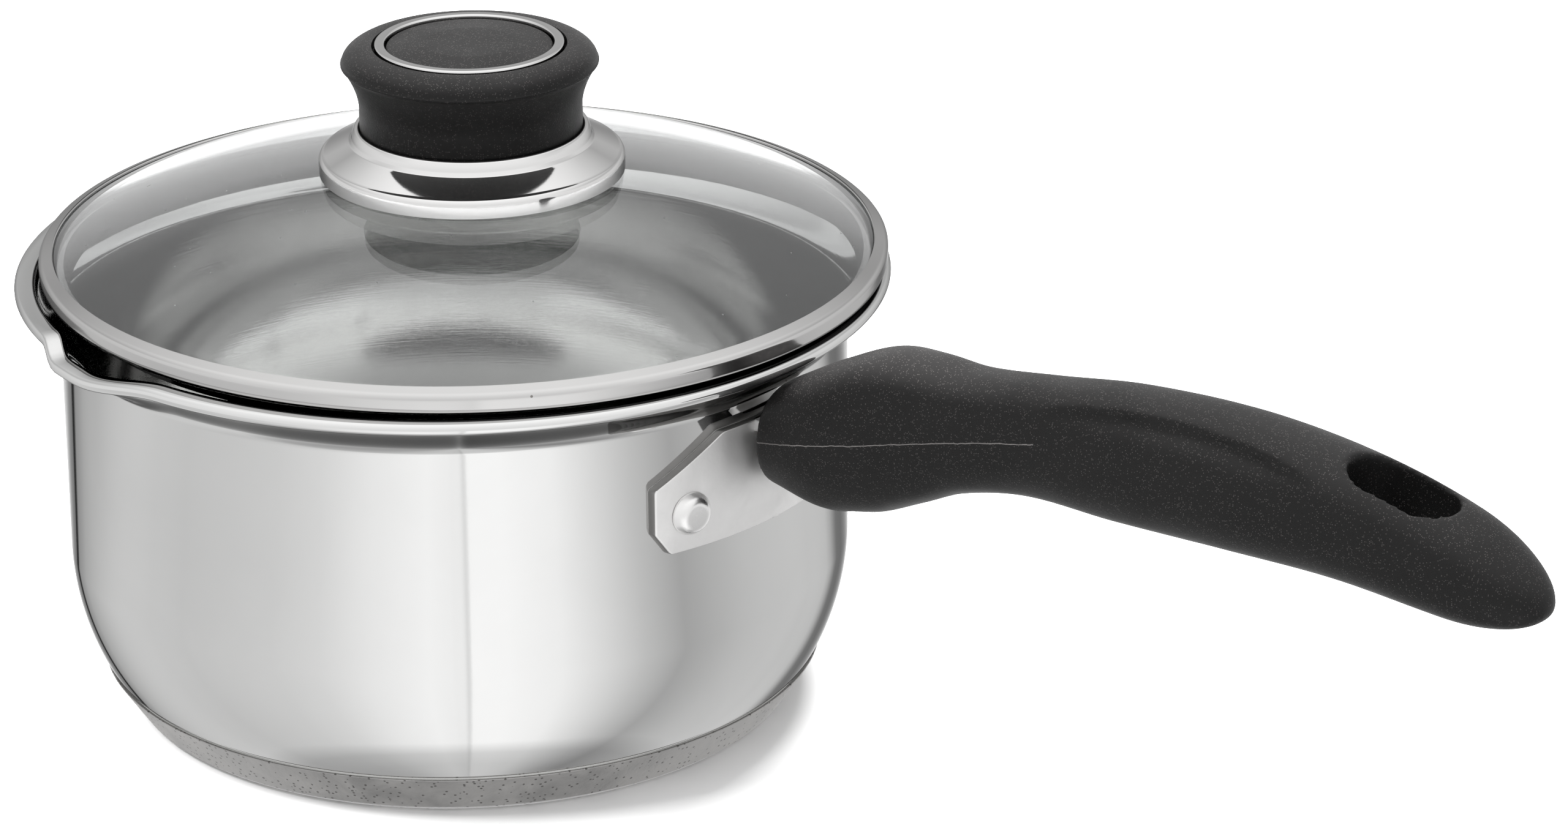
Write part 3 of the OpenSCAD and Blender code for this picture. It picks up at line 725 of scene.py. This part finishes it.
def wing_outline():
    """The plate seen along the handle, as (y, z) points."""
    top = WING_Z + WING_H
    right = [(WING_HALF - 3.2 * MM, WING_Z, 0.8 * MM), (WING_HALF, WING_Z + 4.7 * MM, 0.8 * MM),
             (WING_HALF, WING_Z + 14 * MM, 1.2 * MM), (15.6 * MM, top, 3 * MM)]
    left = [(-y, z, r) for y, z, r in reversed(right)]
    ends = [(0, WING_Z, 0)]
    return rounded(ends + right + left + ends, 4)[:-1]


def build_bracket(material, edge):
    """The plate bent to the pan's wall, with its tongue; its cut edges take the second material."""
    bm = bmesh.new()
    bm.faces.new([bm.verts.new((0, y, z)) for y, z in wing_outline()])
    cuts = 36
    for i in range(1, cuts):
        y = WING_HALF * (2 * i / cuts - 1)
        bmesh.ops.bisect_plane(bm, geom=bm.verts[:] + bm.edges[:] + bm.faces[:], plane_co=(0, y, 0),
                               plane_no=(0, 1, 0))
    made = bmesh.ops.extrude_face_region(bm, geom=bm.faces[:])
    outer = {g for g in made["geom"] if isinstance(g, bmesh.types.BMVert)}
    for v in bm.verts:
        radius = PLATE_IN + (BRACKET_T if v in outer else 0)
        v.co.x = math.sqrt(radius ** 2 - v.co.y ** 2)
    bmesh.ops.recalc_face_normals(bm, faces=bm.faces)
    sharp = [e for e in bm.edges if e.calc_face_angle(0) > math.radians(60)]
    bmesh.ops.bevel(bm, geom=sharp, offset=0.28 * MM, segments=3, profile=0.5, affect="EDGES", material=-1)
    for face in bm.faces:
        middle = face.calc_center_median()
        if abs(face.normal.dot(Vector((middle.x, middle.y, 0)).normalized())) < 0.5:
            face.material_index = 1
    tongue(bm)
    piece = finish_piece(bm, "bracket_plate", "pan", material, ["handle_bracket"], 50)
    piece.data.materials.append(edge)


def box_into(bm, low, high, edge):
    """A box between two corners, with its edges eased."""
    made = bmesh.ops.create_cube(bm, size=1)["verts"]
    size = Vector(high) - Vector(low)
    bmesh.ops.scale(bm, verts=made, vec=size)
    bmesh.ops.translate(bm, verts=made, vec=(Vector(low) + Vector(high)) / 2)
    edges = list({e for v in made for e in v.link_edges})
    bmesh.ops.bevel(bm, geom=edges, offset=edge, segments=2, profile=0.5, affect="EDGES", material=-1)


def tongue(bm):
    """The tongue that enters the handle, level with the plate's top."""
    low = (TANG_START, -TANG_W / 2, TANG_Z)
    box_into(bm, low, (TANG_START + TANG_LEN, TANG_W / 2, TANG_Z + TANG_T), 0.3 * MM)


def build_rivets(material):
    """Two rivets: a domed head outside, a shank through plate and wall, and a flat head inside."""
    bm = bmesh.new()
    face = PLATE_IN + BRACKET_T
    inner = BODY_R - WALL - 0.15 * MM
    dome = rounded([(0, RIVET_H, 0), (RIVET_R * 0.72, RIVET_H, 2.2 * MM), (RIVET_R, 0.35 * MM, 0.5 * MM),
                    (RIVET_R, 0, 0), (0, 0, 0)])
    head = [Vector((p[0], face + SEAT + p[1])) for p in dome]
    shank = [Vector(p) for p in ((0, inner), (SHANK_R, inner), (SHANK_R, face), (0, face))]
    back = inner - BUTTON_H
    button = rounded([(0, back, 0), (BUTTON_R, back, 0.8 * MM), (BUTTON_R, inner, 0), (0, inner, 0)])
    for side in (-1, 1):
        before = set(bm.verts)
        for outline in (head, shank, button):
            turn_into(bm, outline, 48, closed=False)
        made = [v for v in bm.verts if v not in before]
        bmesh.ops.rotate(bm, verts=made, cent=(0, 0, 0), matrix=Matrix.Rotation(math.pi / 2, 3, "Y"))
        bmesh.ops.translate(bm, verts=made, vec=(0, 0, RIVET_Z))
        bmesh.ops.rotate(bm, verts=made, cent=(0, 0, 0), matrix=Matrix.Rotation(side * RIVET_TURN, 3, "Z"))
    finish_piece(bm, "rivets", "pan", material, ["bracket_rivets"], 40)


# ---- handle ----
GRIP_LEN = GRIP_TIP - GRIP_FRONT
GRIP_W = 26 * MM
TIP_LEN = 20 * MM
# The mould line near the handle's front, as (x, z)
SEAM_START = (86 * MM, WING_Z + 20.3 * MM)
SEAM_END = (150 * MM, WING_Z + 34.9 * MM)
PAINTED_SHEEN_TO = 117 * MM      # X up to which the handle's top gets a stronger painted highlight
SCREW_SEAT_Z = TANG_Z - 7 * MM
SCREW_X = 20 * MM        # from the handle's front face
SCREW_BORE_R = 5.4 * MM
BORE_BELOW = 10 * MM     # how far the bore's cutter starts under the bracket's lower edge
POCKET_GAP = 0.5 * MM
HANG_BACK = 31.5 * MM    # the middle of the hanging slot, from the tip
HANG_UPPER = (22 * MM, 14 * MM)   # its length and width above the ledge, and then below it
HANG_LOWER = (19 * MM, 11 * MM)
LEDGE_Z = WING_Z + 30 * MM
HOLLOW_DEPTH = 1.9 * MM
HOLLOW_MIDDLE = 0.56     # share of the handle's length
HOLLOW_REACH = 0.19
# The handle's side view and plan in millimetres: share of its length, half width as a share of the
# grip's, underside and top measured from the bracket's lower edge
GRIP_ROWS = [
    (0.00, 0.89, 8.5, 29.6),
    (0.07, 1.01, 6.0, 36.2),
    (0.14, 1.00, 8.2, 41.4),
    (0.20, 0.90, 12.6, 42.2),
    (0.26, 0.82, 17.2, 41.8),
    (0.35, 0.82, 20.4, 43.6),
    (0.47, 0.92, 20.4, 46.3),
    (0.62, 1.00, 21.1, 46.8),
    (0.76, 1.00, 21.4, 44.0),
    (0.88, 0.93, 19.7, 38.8),
    (1.00, 0.80, 18.0, 30.0)]


def along(rows, x, column):
    """Value at x on a smooth curve through the rows."""
    i = max(k for k in range(len(rows) - 1) if k == 0 or rows[k][0] <= x)
    width = rows[i + 1][0] - rows[i][0]
    t = (x - rows[i][0]) / width

    def slope(k):
        a, b = rows[max(0, k - 1)], rows[min(len(rows) - 1, k + 1)]
        return (b[column] - a[column]) / (b[0] - a[0]) * width

    p, q = rows[i][column], rows[i + 1][column]
    return ((2 * t ** 3 - 3 * t ** 2 + 1) * p + (t ** 3 - 2 * t ** 2 + t) * slope(i)
            + (3 * t ** 2 - 2 * t ** 3) * q + (t ** 3 - t ** 2) * slope(i + 1))


def signed_pow(x, q):
    return math.copysign(abs(x) ** q, x)


def squareness(x, s):
    """Power that squares the handle's section; its lower half is rounder near the front."""
    return 1 - 0.2 * smooth(x / (40 * MM)) if s < 0 else 0.8


def hollow(x, lift):
    """Depth of the finger hollow at a share x of the length and an angle above the side, in degrees."""
    across = (x - HOLLOW_MIDDLE) / HOLLOW_REACH
    if abs(across) >= 1:
        return 0
    edge = 58 - 16 * across ** 2
    below = edge - lift
    return HOLLOW_DEPTH * smooth(1.25 * (1 - across ** 2)) * smooth(below / 4) * (1 - smooth(below / 62))


def grip_point(x, angle):
    """A point on the handle's skin: x from its front face, angle round it from its +Y side."""
    share = x / GRIP_LEN
    tip = min(1, max(0, (x - GRIP_LEN + TIP_LEN) / TIP_LEN))
    squeeze = math.sqrt(max(0.0004, 1 - tip ** 2.6))
    half = GRIP_W / 2 * along(GRIP_ROWS, share, 1) * squeeze
    low, high = along(GRIP_ROWS, share, 2) * MM, along(GRIP_ROWS, share, 3) * MM
    tall = (high - low) / 2 * squeeze
    c, s = math.cos(angle), math.sin(angle)
    lift = math.degrees(math.asin(max(-1, min(1, s))))
    dent = hollow(share, lift)
    q = squareness(x, s)
    y = signed_pow(c, q) * half - c * dent
    z = WING_Z + (low + high) / 2 + signed_pow(s, q) * tall - s * dent
    return Vector((GRIP_FRONT + x, y, z))


def grip_blank():
    """The handle without its holes, from rings bridged one to the next."""
    around = 96
    stations = [(GRIP_LEN - TIP_LEN) * i / 90 for i in range(91)]
    stations += [GRIP_LEN - TIP_LEN + TIP_LEN * math.sin(math.pi / 2 * i / 18) for i in range(1, 19)]
    bm = bmesh.new()
    last = None
    for x in stations:
        ring = bmesh.ops.create_circle(bm, segments=around, radius=1)["verts"]
        for i, v in enumerate(ring):
            v.co = grip_point(x, FULL_TURN * i / around)
        edges = list({e for v in ring for e in v.link_edges if e.other_vert(v) in ring})
        if last:
            bmesh.ops.bridge_loops(bm, edges=last + edges)
        else:
            bmesh.ops.contextual_create(bm, geom=edges)
        last = edges
    bmesh.ops.contextual_create(bm, geom=last)
    bmesh.ops.recalc_face_normals(bm, faces=bm.faces)
    return bm


def slot_cutter(middle_x, length, width, low, high):
    """A round-ended slot standing between two heights."""
    bm = bmesh.new()
    run = (length - width) / 2
    ends = arc(middle_x + run, 0, width / 2, -90, 90, 16) + arc(middle_x - run, 0, width / 2, 90, 270, 16)
    face = bm.faces.new([bm.verts.new((x, y, low)) for x, y in ends])
    raise_faces(bm, [face], high - low)
    return bm


def as_object(bm, name):
    """A plain object that takes over a bmesh."""
    mesh = bpy.data.meshes.new(name)
    bm.to_mesh(mesh)
    bm.free()
    made = bpy.data.objects.new(name, mesh)
    scene.collection.objects.link(made)
    return made


def applied(obj):
    """The object's mesh with its modifiers applied, as a new bmesh; the object is removed."""
    graph = bpy.context.evaluated_depsgraph_get()
    bm = bmesh.new()
    bm.from_object(obj, graph)
    bpy.data.objects.remove(obj)
    return bm


def grip_cutters():
    """The hanging slot's two steps, the tongue's pocket and the screw's bore, as objects."""
    hang_x = GRIP_TIP - HANG_BACK
    side = TANG_W / 2 + POCKET_GAP
    pocket = bmesh.new()
    box_into(pocket, (GRIP_FRONT - 2 * MM, -side, TANG_Z - POCKET_GAP),
             (TANG_START + TANG_LEN + POCKET_GAP, side, TANG_Z + TANG_T + POCKET_GAP), 0.2 * MM)
    screw = bmesh.new()
    bmesh.ops.create_circle(screw, cap_ends=True, segments=32, radius=SCREW_BORE_R,
                            matrix=Matrix.Translation((GRIP_FRONT + SCREW_X, 0, WING_Z - BORE_BELOW)))
    raise_faces(screw, screw.faces[:], SCREW_SEAT_Z - WING_Z + BORE_BELOW)
    return [
        as_object(slot_cutter(hang_x, *HANG_UPPER, LEDGE_Z, WING_Z + 60 * MM), "slot_upper"),
        as_object(slot_cutter(hang_x, *HANG_LOWER, WING_Z, LEDGE_Z + 1 * MM), "slot_lower"),
        as_object(pocket, "tongue_pocket"),
        as_object(screw, "screw_bore")]


def build_grip(material):
    """The handle: its blank with the holes cut, evened to one skin and softened."""
    blank = as_object(grip_blank(), "grip_blank")
    cutters = grip_cutters()
    for cutter in cutters:
        cut = blank.modifiers.new(cutter.name, "BOOLEAN")
        cut.object = cutter
        cut.operation = "DIFFERENCE"
        cut.solver = "EXACT"
    remesh = blank.modifiers.new("even_skin", "REMESH")
    remesh.mode = "VOXEL"
    remesh.voxel_size = 0.6 * MM
    soften = blank.modifiers.new("soften", "SMOOTH")
    soften.factor = 0.5
    soften.iterations = 8
    bm = applied(blank)
    for cutter in cutters:
        bpy.data.objects.remove(cutter)
    finish_piece(bm, "grip", "pan", material, ["handle_grip"], 70)


# ---- lid ----
AXIS = (LID_X, LID_Y)
KNOB_AXIS = (KNOB_X, KNOB_Y)
LIP_GAP = 2 * SEAT
SHOULDER_R = 1.3 * MM   # the band's upper bend
CURL_R = 1.9 * MM       # the band's lower bend


def glass_top(r):
    """Height of the glass's upper face at a radius."""
    return DOME_Z + math.sqrt(DOME_R ** 2 - r * r)


def glass_under(r):
    """Height of the glass's lower face at a radius."""
    return DOME_Z + math.sqrt((DOME_R - GLASS_T) ** 2 - r * r)


def build_band(material):
    """The crimped band: a lip on the glass, an upright side, a curl under it and the skirt in the rim."""
    skirt_r = BODY_R - 0.2 * MM
    lip_r = BAND_R - 2.7 * MM
    bend_r = BAND_R - SHOULDER_R
    path = [Vector((lip_r, glass_top(lip_r) + LIP_GAP + BAND_T))]
    path += arc(bend_r, glass_top(bend_r) + BAND_T - SHOULDER_R + LIP_GAP, SHOULDER_R, 74, 0, 8)
    path += arc(BAND_R - CURL_R, BAND_LOW + CURL_R, CURL_R, 0, -80, 8)
    path += [Vector((skirt_r + 1 * MM, BAND_LOW + 0.5 * MM)),
             Vector((skirt_r + 0.25 * MM, BAND_LOW + 0.35 * MM)),
             Vector((skirt_r, BAND_LOW - 0.1 * MM)),
             Vector((skirt_r, BAND_LOW - SKIRT_H))]
    bm = turned(sheet(evened(path), -BAND_T), FINE_ROUND, AXIS)
    finish_piece(bm, "band", "lid", material, ["lid_band"], 50)


def build_glass(material):
    """The glass dome with its ground edge and the hole under the knob."""
    n = 30
    radii = [GLASS_HOLE_R + (GLASS_R - GLASS_HOLE_R) * i / n for i in range(n + 1)]
    under = [Vector((r, glass_under(r))) for r in radii[:-1]]
    near = GLASS_R - 2 * MM
    edge = rounded([(near, glass_under(near), 0),
                    (GLASS_R, glass_under(GLASS_R), 0.8 * MM),
                    (GLASS_R, glass_top(GLASS_R), 0.8 * MM),
                    (near, glass_top(near), 0)])[1:-1]
    top = [Vector((r, glass_top(r))) for r in reversed(radii[:-1])]
    bm = turned(under + edge + top, ROUND, AXIS)
    finish_piece(bm, "glass", "lid", material, ["lid_glass"], 30)


def build_seal(material):
    """The soft bedding that fills the band round the glass's edge."""
    low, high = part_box("glass_seal")
    outer = BAND_R - BAND_T - SEAT
    inner = BAND_R - 3.4 * MM
    curl = CURL_R - BAND_T
    outline = [Vector((inner, low.z + 0.1 * MM))]
    outline += arc(outer - curl, BAND_LOW + CURL_R, curl, -80, 0, 8)
    outline += [Vector((outer, high.z)), Vector((GLASS_R + SEAT, high.z)),
                Vector((GLASS_R + SEAT, GLASS_EDGE_Z - SEAT)),
                Vector((GLASS_R - 0.2 * MM, GLASS_EDGE_Z - SEAT)),
                Vector((inner, glass_under(inner) - SEAT))]
    finish_piece(turned(outline, ROUND, AXIS), "seal", "lid", material, ["glass_seal"], 40)


WAIST_R = 22.5 * MM
COLLAR_T = 0.6 * MM
COLLAR_BEND_R = 1.2 * MM
RECESS_Z = KNOB_TOP - 2.4 * MM   # floor of the recess for the ring and disc


def build_collar(material):
    """The bright collar: a thin lip, a short steep neck, a low cone and an upright band."""
    foot_z = glass_top(COLLAR_R - COLLAR_T - KNOB_OFF) + SEAT
    path = [Vector((2.8 * MM, SEAT_Z)), Vector((WAIST_R - 0.1 * MM, SEAT_Z))]
    lip = arc(WAIST_R + 0.6 * MM, SEAT_Z + 0.9 * MM, 0.6 * MM, 180, 20, 8)
    lip += rounded([(WAIST_R + 1.6 * MM, SEAT_Z + 0.2 * MM, 0),
                    (WAIST_R + 1.75 * MM, SEAT_Z - 0.5 * MM, 0.3 * MM),
                    (WAIST_R + 2.2 * MM, SEAT_Z - 1.3 * MM, 0.6 * MM),
                    (COLLAR_R - 0.7 * MM, SEAT_Z - 4.15 * MM, 0)], 5)
    lip += arc(COLLAR_R - COLLAR_BEND_R, SEAT_Z - 5.2 * MM, COLLAR_BEND_R, 62, 0, 8)
    path += evened(lip + [Vector((COLLAR_R, foot_z))])
    bm = turned(sheet(path, -COLLAR_T), ROUND, KNOB_AXIS)
    finish_piece(bm, "collar", "lid", material, ["knob_collar"], 50)


def build_knob(material):
    """The knob: a straight waist, a flare, an upright edge with a mould line, and a domed shoulder."""
    line_z = KNOB_TOP - 4.1 * MM
    flare_z = KNOB_TOP - 13 * MM
    recess = RING_R + 0.55 * MM
    edge_z = line_z - 0.5 * MM
    edge_r = KNOB_R - 0.45 * MM
    line_r = KNOB_R - 0.02 * MM
    steps = 14
    outline = rounded([(0, SEAT_Z, 0), (WAIST_R - 0.5 * MM, SEAT_Z, 0.4 * MM),
                       (WAIST_R, SEAT_Z + 0.8 * MM, 0)])
    for i in range(steps + 1):
        t = i / steps
        outline.append(Vector((WAIST_R + 0.5 * MM * t + (edge_r - WAIST_R - 0.5 * MM) * t ** 1.9,
                               flare_z + (edge_z - flare_z) * t)))
    outline += [Vector((KNOB_R - 0.2 * MM, line_z - 0.3 * MM)), Vector((line_r, line_z - 0.12 * MM)),
                Vector((line_r, line_z + 0.12 * MM)), Vector((KNOB_R - 0.2 * MM, line_z + 0.3 * MM))]
    rise = KNOB_TOP - 0.5 * MM - line_z
    for i in range(2, steps + 1):
        a = math.pi / 2 * i / steps
        outline.append(Vector((recess + (KNOB_R - 0.15 * MM - recess) * math.cos(a) ** 0.9,
                               line_z + rise * math.sin(a))))
    outline += [Vector((recess, RECESS_Z)), Vector((0, RECESS_Z))]
    bm = turned(outline, ROUND, KNOB_AXIS, closed=False)
    finish_piece(bm, "knob", "lid", material, ["knob_body"], 40)


def build_ring(material):
    """The bright ring in the knob's top."""
    inner = RING_R - RING_W
    low = RECESS_Z + SEAT
    outline = rounded([(inner, low, 0), (RING_R, low, 0), (RING_R, KNOB_TOP, 0.5 * MM),
                       (inner, KNOB_TOP, 0.5 * MM), (inner, low, 0)])[:-1]
    bm = turned(outline, ROUND, KNOB_AXIS)
    finish_piece(bm, "trim_ring", "lid", material, ["knob_ring"], 50)


def build_disc(material):
    """The slightly domed dark disc inside the ring."""
    r = RING_R - RING_W - 0.25 * MM
    low = RECESS_Z + SEAT
    outline = rounded([(0, KNOB_TOP - 0.2 * MM, 0), (r * 0.55, KNOB_TOP - 0.22 * MM, 4 * MM),
                       (r, KNOB_TOP - 0.75 * MM, 0.5 * MM), (r, low, 0), (0, low, 0)])
    bm = turned(outline, ROUND, KNOB_AXIS, closed=False)
    finish_piece(bm, "disc", "lid", material, ["knob_cap"], 50)


# CAD nodes that keep their shape: node, material name, tone and roughness
INNER_METALS = [
    ("base_core", "core_aluminium", (0.8, 0.8, 0.81), 0.35),
    ("handle_screw", "screw_steel", (0.6, 0.6, 0.6), 0.28),
    ("knob_screw", "lid_screw_steel", (0.62, 0.62, 0.62), 0.25),
    ("screw_washer", "washer_steel", (0.65, 0.65, 0.65), 0.3),
    ("knob_insert", "insert_brass", (0.7, 0.52, 0.24), 0.3)]


def dress(node, material):
    """Give a CAD node that stays in sight a finished material."""
    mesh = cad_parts[node].data
    mesh.materials.clear()
    mesh.materials.append(material)


def add_floor():
    """The pale floor, which mirrors don't show."""
    bm = bmesh.new()
    bmesh.ops.create_circle(bm, cap_ends=True, segments=96, radius=FLOOR_R)
    floor = as_object(bm, "floor")
    floor.data.materials.append(pale_floor())
    floor.visible_glossy = False


add_camera()
add_world()
scene.view_settings.view_transform = "Standard"
for lamp in LAMPS:
    add_area(*lamp)
add_floor()
wall_steel = polished_steel("pan_steel", (0.76, 0.76, 0.755), (0.3, 0.29, 0.28), 0.035)
# The band gets painted shade below BAND_LOW + 0.9 mm, where it tucks down into the rim.
band_steel = polished_steel("band_steel", (0.62, 0.615, 0.61), (0.25, 0.24, 0.23), 0.1, BAND_LOW + 0.9 * MM)
collar_steel = polished_steel("collar_steel", (0.78, 0.775, 0.77), (0.2, 0.19, 0.18), 0.05)
black = phenolic("phenolic")
grip_black = phenolic("grip_phenolic", (SEAM_START, SEAM_END), PAINTED_SHEEN_TO)
build_pan(wall_steel, brushed_steel())
build_cap(base_steel())
build_bracket(satin_steel("bracket_steel", (0.9, 0.895, 0.89), 0.46),
              satin_steel("edge_steel", (0.3, 0.295, 0.29), 0.35))
build_rivets(satin_steel("rivet_steel", (0.92, 0.915, 0.91), 0.24))
build_grip(grip_black)
build_band(band_steel)
build_glass(clear_glass())
build_seal(rubber("silicone", (0.10, 0.10, 0.10)))
build_collar(collar_steel)
build_knob(black)
build_ring(collar_steel)
build_disc(black)
for node, name, tone, rough in INNER_METALS:
    dress(node, satin_steel(name, tone, rough))
dress("knob_spacer", rubber("spacer_black", (0.02, 0.02, 0.02), 0.5))
dress("seal_washer", rubber("washer_silicone", (0.7, 0.7, 0.7), 0.4))
